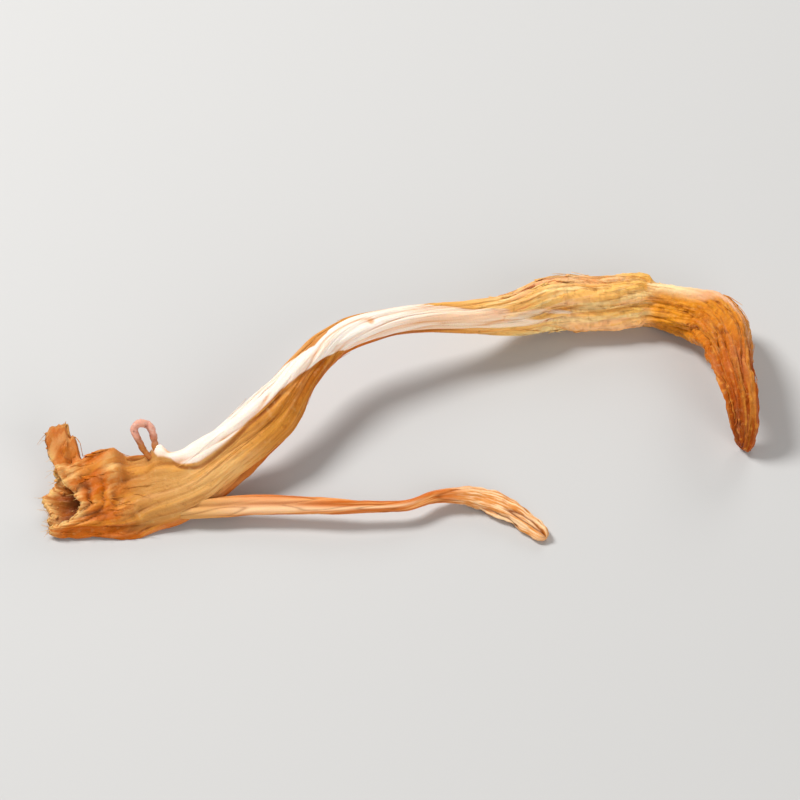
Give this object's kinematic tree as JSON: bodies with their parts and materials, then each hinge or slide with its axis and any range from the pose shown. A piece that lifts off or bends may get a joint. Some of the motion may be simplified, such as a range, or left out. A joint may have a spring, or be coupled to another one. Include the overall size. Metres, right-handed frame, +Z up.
{
  "type": "dried cordyceps",
  "caption": "Dried orange cordyceps fruiting body lying down: torn foot, slim white stem, wrinkled golden club with a bent tip, and a slender side strand.",
  "frame": {"origin": "middle of the base of the object's box, on the surface that it lies on", "axes": "+X along the length from the torn foot to the tip, +Y away from the viewer, +Z up"},
  "size_m": [0.0514, 0.0248, 0.0058],
  "materials": {
    "dried_flesh": "satin",
    "dried_strand": "satin"
  },
  "bodies": {
    "root": {"main_stalk": "dried_flesh", "side_strand": "dried_strand"}
  },
  "joints": []
}
